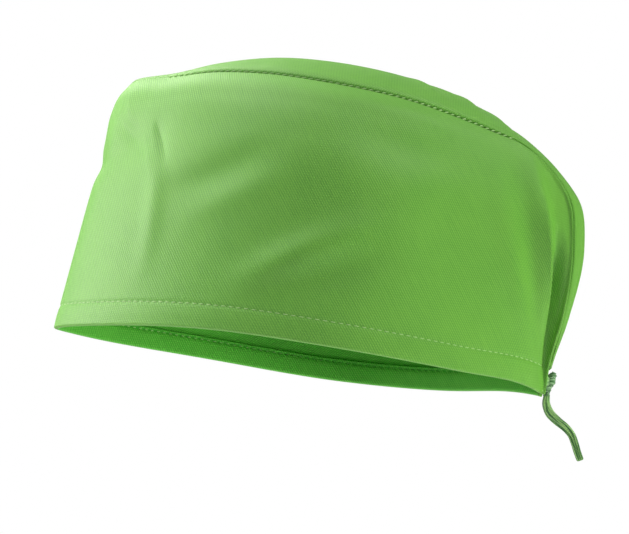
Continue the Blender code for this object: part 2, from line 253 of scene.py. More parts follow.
def level_out(points):
    """Back from the worn slope to the level cap."""
    return tilted(points, -HEM_SLOPE)


def run_lengths(points, axis):
    """Length of the way along an axis of a grid of points, from its first row."""
    steps = np.linalg.norm(np.diff(points, axis=axis), axis=-1)
    start = np.zeros_like(np.take(steps, [0], axis=axis))
    return np.concatenate([start, np.cumsum(steps, axis=axis)], axis=axis)


half_girth = run_lengths(hem_line(np.linspace(0, 1, 80)), 0)[-1]
print(f"hem girth {2 * half_girth:.3f} m")

# %% [markdown]
# ## Folds
# Soft folds come from where the cap is pulled: over the brow, across the temple, and towards the
# knot. Each one is a stroke of a round brush that lifts or presses the cloth, so its height fades
# at both ends and its sides are smooth. Sharp creases are the same strokes with a narrow brush.

# %% Strokes of the side panel and the crown
# around and up of the start, middle and end, then the brush's share of FOLD_WIDTH and FOLD_RISE
SIDE_FOLDS = (
    (0.224, 0.67, 0.263, 0.475, 0.284, 0.22, 0.55, 0.42),
    (0.300, 0.53, 0.361, 0.575, 0.435, 0.695, 0.85, -0.45),
    (0.340, 0.41, 0.401, 0.50, 0.462, 0.585, 0.70, 0.20),
    (0.450, 0.20, 0.514, 0.325, 0.586, 0.46, 0.80, 1.00),
    (0.500, 0.17, 0.560, 0.27, 0.620, 0.37, 0.75, -0.40),
    (0.53, 0.86, 0.61, 0.80, 0.71, 0.84, 1.20, -0.80),
    (0.70, 0.86, 0.715, 0.55, 0.74, 0.25, 2.20, -0.90),
    (0.203, 0.82, 0.232, 0.71, 0.265, 0.60, 0.60, -0.18),
    (0.05, 0.90, 0.12, 0.78, 0.19, 0.68, 0.7, -0.35),
    (-0.13, 0.68, 0.00, 0.66, 0.13, 0.67, 0.6, -0.55),
    (0.868, 0.93, 0.900, 0.60, 0.960, 0.20, 0.75, 1.20),
    (0.937, 0.68, 0.953, 0.40, 0.984, 0.10, 0.72, -2.6),
    (0.825, 0.82, 0.86, 0.53, 0.915, 0.20, 0.8, -0.25),
    (0.785, 0.84, 0.83, 0.50, 0.90, 0.16, 0.7, 0.4),
    (-0.24, 0.62, -0.25, 0.43, -0.27, 0.22, 0.7, 0.6),
    (-0.31, 0.56, -0.37, 0.62, -0.45, 0.66, 0.8, -0.6),
    (-0.36, 0.24, -0.46, 0.42, -0.58, 0.50, 0.85, 1.0),
    (-0.55, 0.88, -0.63, 0.83, -0.72, 0.89, 0.8, -0.8),
    (-0.17, 0.82, -0.20, 0.72, -0.23, 0.62, 0.60, -0.4),
    (-0.885, 0.86, -0.910, 0.64, -0.950, 0.20, 0.80, 1.2),
    (-0.945, 0.74, -0.956, 0.44, -0.970, 0.16, 0.70, -1.4),
    (-0.83, 0.80, -0.865, 0.50, -0.915, 0.20, 0.8, -0.5),
)

# Small creases of the scene alone
SIDE_CREASES = (
    (0.203, 0.785, 0.230, 0.71, 0.258, 0.630, 0.16, -0.45),
    (0.180, 0.74, 0.212, 0.66, 0.235, 0.58, 0.22, 0.15),
    (0.075, 0.845, 0.149, 0.75, 0.205, 0.68, 0.28, -0.25),
    (0.10, 0.93, 0.115, 0.86, 0.14, 0.80, 0.25, 0.12),
    (0.885, 0.80, 0.914, 0.50, 0.972, 0.10, 0.20, 0.45),
    (-0.19, 0.80, -0.205, 0.71, -0.235, 0.63, 0.22, -0.28),
    (-0.08, 0.86, -0.13, 0.78, -0.19, 0.70, 0.30, -0.12),
    (-0.895, 0.76, -0.925, 0.45, -0.970, 0.16, 0.22, 0.25),
)

# path and across of the start, middle and end, then the same shares
CROWN_FOLDS = (
    (0.50, 0.98, 0.475, 0.70, 0.45, 0.40, 0.18, 0.20),
    (0.525, 0.98, 0.50, 0.68, 0.47, 0.38, 0.26, -0.24),
    (0.560, 0.98, 0.535, 0.66, 0.51, 0.35, 0.17, 0.20),
    (0.575, 0.98, 0.555, 0.66, 0.53, 0.38, 0.24, -0.22),
    (0.600, 0.96, 0.575, 0.60, 0.55, 0.35, 0.16, 0.18),
    (0.625, 0.96, 0.600, 0.60, 0.58, 0.35, 0.24, -0.20),
    (0.52, 0.50, 0.54, 0.00, 0.52, -0.50, 1.80, -0.60),
    (0.49, -0.96, 0.46, -0.66, 0.43, -0.25, 0.40, -0.3),
    (0.56, -0.96, 0.53, -0.60, 0.50, -0.15, 0.30, 0.3),
    (0.61, -0.96, 0.58, -0.62, 0.54, -0.25, 0.40, -0.3),
    (0.73, 0.50, 0.84, 0.48, 0.96, 0.45, 0.45, 0.3),
    (0.73, 0.00, 0.84, 0.02, 0.96, 0.00, 0.45, -0.3),
    (0.73, -0.50, 0.84, -0.52, 0.96, -0.45, 0.45, 0.3),
)
BRUSH_STEPS = 41
STROKE_END = 0.08         # where on half a wave a stroke starts, so that its ends keep some height


# %% Press the strokes into a height
def brush(folds, first, second, first_length, second_length):
    """Height of the folds over a grid."""
    height = np.zeros(np.broadcast(first, second).shape)
    for start_a, start_b, mid_a, mid_b, end_a, end_b, width, rise in folds:
        stroke = np.zeros_like(height)
        bend_a = 2 * mid_a - (start_a + end_a) / 2
        bend_b = 2 * mid_b - (start_b + end_b) / 2
        for share in np.linspace(0, 1, BRUSH_STEPS):
            ends = (1 - share) ** 2, 2 * share * (1 - share), share ** 2
            at_a = ends[0] * start_a + ends[1] * bend_a + ends[2] * end_a
            at_b = ends[0] * start_b + ends[1] * bend_b + ends[2] * end_b
            away = ((first - at_a) * first_length) ** 2 + ((second - at_b) * second_length) ** 2
            fade = math.sin(math.pi * (STROKE_END + (1 - 2 * STROKE_END) * share))
            stroke = np.maximum(stroke, fade * np.exp(-away / (width * FOLD_WIDTH) ** 2))
        height += rise * FOLD_RISE * stroke
    return height


# %% [markdown]
# ## The faces of the two panels
# A face function gives the outer surface of a panel for any two shares. Its normal comes from the
# slopes on both sides of a place, and the folds are added along that normal.

# %% Faces of the side panel and the crown
def facing_out(face, first, second):
    step = 2e-3
    along = face(first + step, second) - face(first - step, second)
    across = face(first, second + step) - face(first, second - step)
    return unit(np.cross(along, across))


def ease(distance):
    share = np.clip(distance / FOLD_MARGIN, 0, 1)
    return share * share * (3 - 2 * share)


def side_base(around, up):
    side = np.where(around < 0, -1.0, 1.0)[..., None] * (1, 0, 0) + (0, 1, 1)
    share = np.abs(around)
    low = hem_line(share)
    high = seam_line(share * CORNER_PATH)
    columns = smooth_table(BULGE, up)
    ahead = np.cos(math.pi * share)
    bulge = (columns[..., 0] * np.maximum(ahead, 0) ** 2 + columns[..., 1] * (1 - ahead ** 2)
             + columns[..., 2] * np.minimum(ahead, 0) ** 2) * PANEL_BULGE
    wall = low + (high - low) * up[..., None] + hem_outward(share) * bulge[..., None]
    end_low, end_high = hem_line(1.0), seam_line(CORNER_PATH)
    end_bulge = (columns[..., 2] * PANEL_BULGE)[..., None] * hem_outward(1.0)
    end_wall = end_low + (end_high - end_low) * up[..., None] + end_bulge
    back_seam = seam_line(1 - up * (1 - CORNER_PATH))
    return (wall + (share ** 7)[..., None] * (back_seam - end_wall)) * side


def side_face(around, up):
    height = brush(SIDE_FOLDS + SIDE_CREASES, around, up, half_girth, SEAM_HEIGHT)
    height = height * ease((1 - np.abs(around)) * half_girth) * ease((1 - up) * SEAM_HEIGHT)
    return side_base(around, up) + facing_out(side_base, around, up) * height[..., None]


def crown_base(path, across):
    seam = seam_line(path)
    flat = seam * np.stack([across, 1 + 0 * across, 1 + 0 * across], axis=-1)
    dome = np.maximum(1 - across ** 2, 0) ** CROWN_FULLNESS
    return flat + crown_lift(path) * dome[..., None]


def crown_face(path, across):
    seam_length = half_girth * CROWN_WIDTH / HEM_WIDTH / CORNER_PATH
    height = brush(CROWN_FOLDS, path, across, seam_length, CROWN_WIDTH / 2)
    height = height * ease((1 - np.abs(across)) * CROWN_WIDTH / 2)
    return crown_base(path, across) - facing_out(crown_base, path, across) * height[..., None]


def panel_height(around):
    share = np.abs(around)
    return seam_line(share * CORNER_PATH)[..., 2] - hem_line(share)[..., 2]


# %% [markdown]
# ## How each place lies to the thread
# Near a seam the cloth is pulled down by the thread, and every stitch puckers it. Both need the
# distance to the line of thread and the way along it, counted in stitches, so every point of the
# cloth gets these two numbers as attributes, and the material reads them too.

# %% Measure from the thread
SEAM_PITCH = 0.00315      # length of a stitch of the crown seam
HEM_PITCH = 0.0036        # length of a stitch of the hem
SEAM_POINTS = 1200
BROW_PATHS = (0.10, 0.20)    # the crown seam is over the brow up to the first, and then on top
NAPE_PATHS = (0.60, 0.67)    # it is on top up to the first, and at the nape from the second
HIDDEN_GAP = 0.004        # added to the distance to a thread, it hides the puckers
FAINT_GAP = 0.0007        # added at the hem, it makes them fainter
seam_path = np.linspace(0, 1, SEAM_POINTS)
left_seam = seam_line(seam_path)
seam_run = run_lengths(left_seam, 0)
print(f"crown seam {seam_run[-1]:.3f} m on each side")


def from_seam(points):
    """Distance to the crown seam, and the way along it from the brow, for a grid of points."""
    near = np.empty(points.shape[:-1])
    run = np.empty(points.shape[:-1])
    for row, places in enumerate(points):
        mirrored = places.copy()
        mirrored[:, 0] = np.abs(mirrored[:, 0])
        away = np.linalg.norm(mirrored[:, None] - left_seam[None], axis=-1)
        nearest = away.argmin(axis=1)
        near[row] = away[np.arange(len(places)), nearest]
        run[row] = seam_run[nearest]
    return near, run


def at_brow(run):
    """1 where the seam runs over the brow, and 0 on top."""
    return np.interp(np.interp(run, seam_run, seam_path), BROW_PATHS, (1, 0))


def at_nape(run):
    """1 where the seam runs down to the nape, and 0 on top."""
    return np.interp(np.interp(run, seam_run, seam_path), NAPE_PATHS, (0, 1))


def hidden_thread(run):
    """Added to the distance where the seam's thread pulls no puckers: over the brow and the nape."""
    return HIDDEN_GAP * np.maximum(at_brow(run), at_nape(run))


def from_hem_thread(points, height):
    """Distance to the hem's thread, and stitches along it from the brow."""
    run = run_lengths(points, 0)
    run = np.abs(run - run[len(run) // 2])
    return np.abs(height - HEM_DEPTH), run / HEM_PITCH


# %% [markdown]
# ## A sheet of cloth from a grid
# The cloth starts as a flat grid, as it was cut, and every point then moves to its place on the
# head. A grid is quick and even, and its UV map keeps the lengths of the flat cloth, so the weave
# runs on over folds and curves at its real size. Solidify gives the sheet its thickness.

# %% Make and thicken a sheet
def grid_on(name, points, attributes=()):
    """A flat grid moved onto points: the first axis runs to the right and the second one up."""
    columns, rows = points.shape[:2]
    bpy.ops.object.select_all(action="DESELECT")
    bpy.ops.mesh.primitive_grid_add(x_subdivisions=columns - 1, y_subdivisions=rows - 1, size=2)
    piece = bpy.context.object
    piece.name = piece.data.name = name
    mesh = piece.data
    flat = np.empty(len(mesh.vertices) * 3)
    mesh.vertices.foreach_get("co", flat)
    flat = (flat.reshape(-1, 3)[:, :2] + 1) / 2    # the grid reaches from -1 to 1
    column = np.rint(flat[:, 0] * (columns - 1)).astype(int)
    row = np.rint(flat[:, 1] * (rows - 1)).astype(int)
    mesh.vertices.foreach_set("co", worn(points)[column, row].ravel())
    right = run_lengths(points, 0)[:, rows // 2][:, None]
    right = np.broadcast_to(right - right[columns // 2], (columns, rows))
    up = run_lengths(points, 1)
    corner = np.empty(len(mesh.loops), dtype=np.int32)
    mesh.loops.foreach_get("vertex_index", corner)
    lengths = np.stack([right[column, row], up[column, row]], axis=-1)
    mesh.uv_layers.active.data.foreach_set("uv", lengths[corner].ravel())
    for label, values in dict(attributes).items():
        mesh.attributes.new(label, "FLOAT", "POINT").data.foreach_set("value", values[column, row])
    return piece


def sheet_of_cloth(name, points, attributes, thickness):
    """A sheet of cloth of a thickness, its outer face on a grid of points."""
    piece = grid_on(name, points, attributes)
    merge_doubles(piece, 2e-5)
    bpy.ops.object.mode_set(mode="OBJECT")
    for side in ("face", "back"):
        piece.data.materials.append(bpy.data.materials.new(f"{name}_{side}"))
    apply_modifier(piece, "SOLIDIFY", thickness=thickness, offset=-1, material_offset=1)
    bpy.ops.object.shade_smooth()
    return piece


# %% [markdown]
# ## The side panel
# One strip of twill goes from the right back seam round the brow to the left back seam. Its rows
# run from inside the hem, round the fold at the lower edge, up the outside and into the crown
# seam. The rows lie closer at the hem and at the seam, where the cloth bends most.

# %% Rows of the side panel
WALL = 0.0009             # thickness of the twill
LEFT_STATIONS = 245       # the side with the photograph's folds is the finer one
RIGHT_STATIONS = 160
END_DENSITY = 0.35        # how much closer the stations lie at the brow and the nape
BODY_ROWS = 74
HEM_FOLD = 0.0013         # half the thickness of the fold at the lower edge
FOLD_DROP = 0.0007        # how round the fold is below
FOLD_ROWS = 11
LIP_ROWS = (0.0030, 0.0016)                      # heights inside, where the cloth goes up again
BAND_ROWS = np.arange(0.0014, 0.0143, 0.00065)   # heights up the outside of the hem
SEAM_ROWS = (0.0030, 0.0023, 0.0017, 0.0012, 0.0008, 0.0005, 0.00025, 0)   # distances from the seam


def stations(count):
    even = np.linspace(0, 1, count + 1)
    return even - END_DENSITY * np.sin(2 * math.pi * even) / (2 * math.pi)


around_row = np.concatenate([-stations(RIGHT_STATIONS)[:0:-1], stations(LEFT_STATIONS)])

# depth and height of each row, from the lip round the fold and up the band
lip_rows = [(2 * HEM_FOLD, height) for height in LIP_ROWS]
fold_rows = [(HEM_FOLD + HEM_FOLD * math.cos(angle), FOLD_DROP - FOLD_DROP * math.sin(angle))
             for angle in np.linspace(0, math.pi, FOLD_ROWS)]
band_rows = [(0, height) for height in BAND_ROWS]
section = np.array(lip_rows + fold_rows + band_rows)
print(f"{len(around_row)} stations, {len(section)} rows at the hem")

# %% Relief at the hem and the seam
GROOVE = 0.0010           # depth to which the seam pulls the cloth
GROOVE_WIDTH = 0.0007
NAPE_EDGE = 0.0010        # how proud the folded edge of the side panel is at the nape
NAPE_EDGE_AWAY = 0.0012   # from the seam to that edge
NAPE_EDGE_WIDTH = 0.0007
STITCH_DIP = 0.0004       # depth to which the hem's thread pulls the cloth
STITCH_DIP_WIDTH = 0.0008
BAND_PUFF = 0.0002        # how far the cord in the hem pushes it out
BAND_PUFF_WIDTH = 0.0032


def bell(distance, width):
    """1 at no distance, falling to 0 over a width."""
    return np.exp(-(distance / width) ** 2)


def groove(gap):
    """Depth of the crown seam's groove at a distance from the seam."""
    return GROOVE * np.exp(-(gap / GROOVE_WIDTH) ** 1.5)


def hem_relief(height):
    """The cord puffs the band out, and the thread above it pulls the cloth in."""
    puff = BAND_PUFF * bell(height - 0.5 * HEM_DEPTH, BAND_PUFF_WIDTH)
    dip = STITCH_DIP * bell(height - HEM_DEPTH, STITCH_DIP_WIDTH)
    return np.where(height < 1.5 * HEM_DEPTH, puff - dip, 0)


# %% Lay the side panel
def side_points():
    wall = panel_height(around_row)
    low = section[None, :, 1] / wall[:, None]
    top = 1 - np.array(SEAM_ROWS) / SEAM_HEIGHT
    start = low[:, -1:]
    body = start + (top[0] - start) * np.linspace(0, 1, BODY_ROWS + 1)[None, 1:-1]
    top_rows = np.broadcast_to(top[None, :], (len(wall), len(top)))
    up = np.concatenate([low, body, top_rows], axis=1)
    depth = np.concatenate([section[:, 0], np.zeros(up.shape[1] - len(section))])
    around = np.broadcast_to(around_row[:, None], up.shape)
    points = side_face(around, up)
    height = up * wall[:, None]
    seam_gap, along_seam = from_seam(points)
    hem_gap, hem_count = from_hem_thread(points, np.where(depth == 0, height, 1))
    nape = at_nape(along_seam)
    pulled = (1 - 0.5 * nape) * (1 - at_brow(along_seam))
    relief = hem_relief(height) * (depth == 0) - pulled * groove(seam_gap)
    relief = relief + NAPE_EDGE * nape * bell(seam_gap - NAPE_EDGE_AWAY, NAPE_EDGE_WIDTH)
    outward = facing_out(side_face, around, up)
    thread = {"thread_gap": np.minimum(seam_gap + hidden_thread(along_seam), hem_gap + FAINT_GAP),
              "thread_count": np.where(seam_gap < hem_gap, along_seam / SEAM_PITCH, hem_count)}
    return points + outward * (relief - depth)[..., None], thread


side_grid, side_thread = side_points()
side_cloth = sheet_of_cloth("side_cloth", side_grid, side_thread, WALL)
seat(side_cloth, "side_twill", "side_panel")

# %% [markdown]
# ## The crown panel
# The crown is a second sheet, from the brow over the top and down the nape as a narrow tongue. Its
# edge lies over the turned seam allowance, so it stands a little proud of the side panel before it
# dips into the seam.

# %% Lay the crown panel
CROWN_STATIONS = 210
CROWN_COLUMNS = 92
EDGE_RISE = 0.00018       # how far the allowance under it lifts the crown's edge
EDGE_AWAY = 0.0032        # from the seam to the middle of that lift
EDGE_WIDTH = 0.0022

path_row = np.linspace(0, TONGUE_END, CROWN_STATIONS + 1)
across_row = np.sin(np.linspace(-math.pi / 2, math.pi / 2, CROWN_COLUMNS + 1))


def crown_points():
    across, path = np.meshgrid(across_row, path_row, indexing="ij")
    points = crown_face(path, across)
    gap, run = from_seam(points)
    lifted = (1 - at_nape(run)) * (1 - 0.6 * at_brow(run))
    relief = EDGE_RISE * lifted * bell(gap - EDGE_AWAY, EDGE_WIDTH)
    relief = relief - (1 - at_brow(run)) * groove(gap)
    outward = -facing_out(crown_face, path, across)
    thread = {"thread_gap": gap + hidden_thread(run), "thread_count": run / SEAM_PITCH}
    return points + outward * relief[..., None], thread


crown_grid, crown_thread = crown_points()
crown_cloth = sheet_of_cloth("crown_cloth", crown_grid, crown_thread, WALL)
seat(crown_cloth, "crown_twill", "crown_panel")

# %% [markdown]
# ## The turned hem
# Inside, the hem goes up again from the fold to the stitching, where its raw edge is turned under.
# It is a sheet of its own that starts behind the lip of the side panel, so the joint can't be seen.

# %% Lay the hem's facing
INSIDE_DEPTH = 0.0094     # of the stitching inside, where the hem rolls inwards
FACING_WALL = 0.8 * WALL
# depth and height of each row, for a hem of the full depth
FACING_SECTION = (
    (0.00190, 0.00004), (0.00235, 0.00018), (0.00266, 0.00055), (0.00272, 0.0011), (0.00274, 0.0020),
    (0.00274, 0.0032), (0.00273, 0.0045), (0.00272, 0.0056), (0.00270, 0.0067), (0.00267, 0.0077),
    (0.00262, 0.0086), (0.00252, 0.0094), (0.0022, 0.0102), (0.0019, 0.0108), (0.0019, 0.0113),
    (0.0021, 0.0118), (0.0021, 0.0123), (0.0018, 0.0127), (0.0014, 0.0129),
)


def inside_hem(section):
    """Points inside the hem, from left to right, and their heights, from a section."""
    depth, height = np.array(section).T
    up = height[None, :] / panel_height(around_row)[:, None]
    around = np.broadcast_to(around_row[::-1, None], up.shape)
    points = side_face(around, up) - facing_out(side_face, around, up) * depth[None, :, None]
    return points, np.broadcast_to(height, up.shape)


facing_grid, facing_height = inside_hem(np.array(FACING_SECTION) * (1, INSIDE_DEPTH / HEM_DEPTH))
gap, count = from_hem_thread(facing_grid, facing_height * HEM_DEPTH / INSIDE_DEPTH)
facing_thread = {"thread_gap": gap, "thread_count": count}
hem_facing = sheet_of_cloth("hem_facing", facing_grid, facing_thread, FACING_WALL)
seat(hem_facing, "hem_twill", "hem_casing")

# %% [markdown]
# ## The drawcord
# A flat woven cord lies in the hem. Both of its ends come out at the nape and are drawn together
# into the knot. A tube is a grid too: its first and last columns meet, and its ends are filled.

# %% Make a tube from rings
def tube_of_cord(name, rings):
    """Closed tube through rings of points, with a UV map of lengths around and along."""
    rings = np.concatenate([rings, rings[:, :1]], axis=1)
    piece = grid_on(name, rings.transpose(1, 0, 2))
    merge_doubles(piece, 1e-5)
    bpy.ops.mesh.select_all(action="SELECT")
    bpy.ops.mesh.fill_holes(sides=0)
    bpy.ops.mesh.select_all(action="SELECT")
    bpy.ops.mesh.normals_make_consistent(inside=False)
    bpy.ops.object.mode_set(mode="OBJECT")
    bpy.ops.object.shade_smooth()
    return piece


# %% Lay the drawcord
CORD_GAP = 0.0010         # from the outer face in to the cord
CORD_WIDTH = 0.006
CORD_THICKNESS = 0.0008
CORD_POINTS = 16          # round its section
CORD_ROUND = 0.35         # how round its edges are: 0 is a box and 1 an ellipse
CORD_LEAD = 0.5           # share of its width to which the cord is drawn together at the knot
LEAD_ASIDE = 0.00238      # from the middle of the knot to where each end goes in
KNOT_CENTRE = np.array([0, hem_plan(1.0)[1] + KNOT_BEHIND, KNOT_UP])
TIED_IN = np.array([0, -0.0019, 0])    # the knot is drawn in against the hem


def cord_section():
    """Flat section with round edges: depth and height of each point."""
    angle = np.linspace(0, 2 * math.pi, CORD_POINTS, endpoint=False)
    flat = np.abs(np.cos(angle)) ** CORD_ROUND * np.sign(np.cos(angle)) * CORD_THICKNESS / 2
    high = np.sin(angle) * CORD_WIDTH / 2
    return np.stack([CORD_GAP + CORD_THICKNESS / 2 + flat, HEM_DEPTH / 2 + high], axis=-1)


def drawcord_rings():
    rings = inside_hem(cord_section())[0]
    depth, height = cord_section().T
    behind = depth.mean() - depth
    above = (height - height.mean()) * CORD_LEAD
    leads = []
    for side in (1, -1):
        aside = side * LEAD_ASIDE + 0 * depth
        leads.append(KNOT_CENTRE + TIED_IN + np.stack([aside, behind, above], axis=-1))
    middle = [(lead + ring) / 2 for lead, ring in zip(leads, (rings[0], rings[-1]))]
    return np.concatenate([[leads[0]], [middle[0]], rings, [middle[1]], [leads[1]]])


draw_tape = tube_of_cord("draw_tape", drawcord_rings())
seat(draw_tape, "cord_cotton", "drawcord")

# %% [markdown]
# ## The knot and the loose end
# The flat cord gathers into a thin round strand where it is tied. The knot is that strand wound
# tight around itself, so it is one tube along a short, steep coil. The loose end is the same
# strand, a little twisted, and it hangs from the knot in two lazy bends to a round cut end.

# %% Sweep a strand along a route
def swept_rings(route, across, widths, segments, ribs, twist, flatness=1.0):
    """Rings along a route. widths are diameters, and ribs and twist give the gathered surface."""
    ahead = unit(np.gradient(route, axis=0))
    aside = unit(across - ahead * (across * ahead).sum(axis=-1, keepdims=True))
    over = np.cross(ahead, aside)
    angle = np.linspace(0, 2 * math.pi, segments, endpoint=False)[None, :]
    along = np.linspace(0, 1, len(route))[:, None]
    fold = 1 + sum(depth * np.cos(count * angle + twist * turns * along)
                   for count, depth, turns in ribs)
    reach = widths[:, None] / 2 * fold
    return (route[:, None] + aside[:, None] * (reach * np.cos(angle))[..., None]
            + over[:, None] * (reach * np.sin(angle) * flatness)[..., None])


# %% Hang the loose end
# back and up from the middle of the knot
TIE_ROUTE = (
    (-0.0012, -0.0054), (-0.0015, -0.0100), (0.0002, -0.0144), (0.0036, -0.0178),
    (0.0075, -0.0210), (0.0104, -0.0246), (0.0121, -0.0290), (0.0133, -0.0334),
    (0.0145, -0.0372),
)
TIE_POINTS = 61
# share of the length, then the width there
TIE_WIDTHS = (
    (0, 0.0026), (0.10, 0.0032), (0.25, 0.0039), (0.6, 0.0038), (0.9, 0.0033), (1.0, 0.0030),
)
TIP_LENGTH = 0.035        # share of the length over which the cut end is rounded
TIP_BEYOND = 0.02         # how far past the end the rounding would close, as a share
TIE_RIBS = ((3, 0.14, 1), (5, 0.09, 2), (8, 0.05, 3))    # count, depth and turns of each set
knot_worn = worn(KNOT_CENTRE) + TIED_IN


def tie_route():
    rows = [(place, *offset) for place, offset in enumerate(TIE_ROUTE)]
    back, up = smooth_table(rows, np.linspace(0, len(rows) - 1, TIE_POINTS)).T
    return knot_worn + np.stack([0 * back, back, up], axis=-1)


tie_path = tie_route()
tie_share = np.linspace(0, 1, TIE_POINTS)
tie_width = smooth_table(TIE_WIDTHS, tie_share)[:, 0]
tie_width = tie_width * np.sqrt(np.clip((1 + TIP_BEYOND - tie_share) / TIP_LENGTH, 0, 1))
tie_rings = swept_rings(tie_path, np.array([[0, 1.0, 0]]), tie_width, segments=40, ribs=TIE_RIBS,
                        twist=4.5, flatness=0.8)
tie_strand = tube_of_cord("tie_strand", level_out(tie_rings))
seat(tie_strand, "tie_cotton", "tie_end")

# %% Tie the knot
KNOT_HEIGHT = 0.0116
KNOT_TURNS = 2.6
KNOT_LEAN = 0.0022        # how far the top stands behind the bottom
KNOT_POINTS = 120
KNOT_START = -0.6         # angle at which the coil starts
KNOT_REACH = 0.00115      # from the axis of the coil to the middle of its strand
KNOT_SLANT = 0.9          # how far each turn climbs across the coil, as a share of the reach
KNOT_STRAND = 0.0042      # greatest width of the strand
KNOT_ENDS = 0.0032        # height that the strand's own thickness takes at both ends
KNOT_RIBS = ((7, 0.09, 2), (11, 0.05, 3))
LEAD_OUT = 0.12           # share of the coil that leads over to the loose end


def belly(share, end):
    """1 in the middle of the knot and less at its ends; end is how near an end is to nothing."""
    return np.sin(math.pi * (end + (1 - 2 * end) * share)) ** 0.5


def knot_route(share):
    """A steep coil that leans back at the top and ends in the loose end."""
    angle = 2 * math.pi * KNOT_TURNS * share + KNOT_START
    reach = KNOT_REACH * belly(share, 0.06)
    slant = KNOT_SLANT * reach * np.sin(angle)
    up = (0.5 - share) * (KNOT_HEIGHT - KNOT_ENDS) + slant
    lean = KNOT_LEAN * (0.5 - share)
    coil = np.stack([reach * np.cos(angle), reach * np.sin(angle) + lean, up], axis=-1)
    lead_out = np.clip((share - (1 - LEAD_OUT)) / LEAD_OUT, 0, 1)[:, None] ** 1.5
    start = level_out(tie_path[2] - knot_worn)
    return level_out(knot_worn) + coil * (1 - lead_out) + start * lead_out


knot_share = np.linspace(0, 1, KNOT_POINTS)
knot_width = KNOT_STRAND * belly(knot_share, 0.12)
knot_rings = swept_rings(knot_route(knot_share), np.array([[0, 0, 1.0]]), knot_width, segments=48,
                         ribs=KNOT_RIBS, twist=5.0)
tie_knot = tube_of_cord("knot_strand", knot_rings)
seat(tie_knot, "knot_cotton", "tie_knot")

# %% [markdown]
# ## Stitches
# One stitch is a short thread that dives into the cloth at both ends. It is modelled once, from a
# small ball stretched and bent, and its copies are laid along the seam and the hem. On the crown
# seam they lie slanting over the groove, and on the hem they run in line.

# %% Model one stitch
STITCH_BEND = 0.8         # how deep its ends dive, in half widths

bpy.ops.object.select_all(action="DESELECT")
bpy.ops.mesh.primitive_uv_sphere_add(segments=8, ring_count=6, radius=1)
one_stitch = bpy.context.object
pick_only(one_stitch)
bpy.ops.object.mode_set(mode="EDIT")
bpy.ops.mesh.select_all(action="SELECT")
bpy.ops.transform.rotate(value=math.pi / 2, orient_axis="Y", center_override=(0, 0, 0))
bpy.ops.object.mode_set(mode="OBJECT")
stitch_points = np.array([vertex.co for vertex in one_stitch.data.vertices])
stitch_points[:, 2] -= STITCH_BEND * stitch_points[:, 0] ** 2
stitch_faces = [tuple(face.vertices) for face in one_stitch.data.polygons]
bpy.data.objects.remove(one_stitch)
print(f"one stitch: {len(stitch_faces)} faces")


# %% Lay rows of stitches
def row_of_stitches(name, places, along, outward, length, width):
    """Copies of the stitch at places, each along its own direction and of its own length."""
    aside = np.cross(outward, along)
    points = []
    faces = []
    lengths = np.broadcast_to(length, len(places))
    for place, x_axis, y_axis, z_axis, long in zip(places, along, aside, outward, lengths):
        faces += [tuple(corner + len(points) * len(stitch_points) for corner in face)
                  for face in stitch_faces]
        local = stitch_points * (long / 2, width / 2, width / 2)
        points.append(place + local @ np.stack([x_axis, y_axis, z_axis]))
    mesh = bpy.data.meshes.new(name)
    mesh.from_pydata(worn(np.concatenate(points)).tolist(), [], faces)
    mesh.shade_smooth()
    piece = bpy.data.objects.new(name, mesh)
    scene.collection.objects.link(piece)
    return piece


# %% Stitches of the crown seam
SLANT = math.radians(30)  # of the seam's stitches, across the groove
FIRST_STITCH = 0.125      # where on the path of the seam the stitches begin and end
LAST_STITCH = 0.625
SEAM_STITCH_WIDTH = 0.00062
SEAM_STITCH_SUNK = (0.00022, 0.0003, -0.0003)     # on top, then what the nape and the brow add
SEAM_STITCH_LENGTH = (0.0027, -0.0006, -0.0010)
NEAR_SEAM = 0.97          # share of a panel at which its face is read beside the seam


def seam_frame(path):
    """Places of the crown seam before its corner, with its direction and outward normal."""
    step = 1e-3
    along = unit(seam_line(path + step) - seam_line(path - step))
    side_out = facing_out(side_base, path / CORNER_PATH, NEAR_SEAM + 0 * path)
    crown_out = -facing_out(crown_base, path, NEAR_SEAM + 0 * path)
    outward = unit(side_out + crown_out)
    outward = unit(outward - along * (outward * along).sum(axis=-1, keepdims=True))
    return seam_line(path), along, outward


def on_the_seam(run, on_top, nape_adds, brow_adds):
    return on_top + nape_adds * at_nape(run) + brow_adds * at_brow(run)


first_run, last_run = np.interp((FIRST_STITCH, LAST_STITCH), seam_path, seam_run)
stitch_runs = np.arange(int(first_run / SEAM_PITCH), int(last_run / SEAM_PITCH)) * SEAM_PITCH
seam_places, seam_along, seam_out = seam_frame(np.interp(stitch_runs, seam_run, seam_path))
seam_places = seam_places - seam_out * on_the_seam(stitch_runs, *SEAM_STITCH_SUNK)[:, None]
seam_length = on_the_seam(stitch_runs, *SEAM_STITCH_LENGTH)
seam_aside = np.cross(seam_out, seam_along)
slanted = seam_along * math.cos(SLANT) + seam_aside * math.sin(SLANT)
both_sides = [np.concatenate([left, left * (-1, 1, 1)]) for left in (seam_places, slanted, seam_out)]
seam_stitches = row_of_stitches("seam_stitches", *both_sides, np.tile(seam_length, 2),
                                SEAM_STITCH_WIDTH)
seat(seam_stitches, "crown_twill")


# %% Stitches of the hem
HEM_STITCH_LENGTH = 0.0027


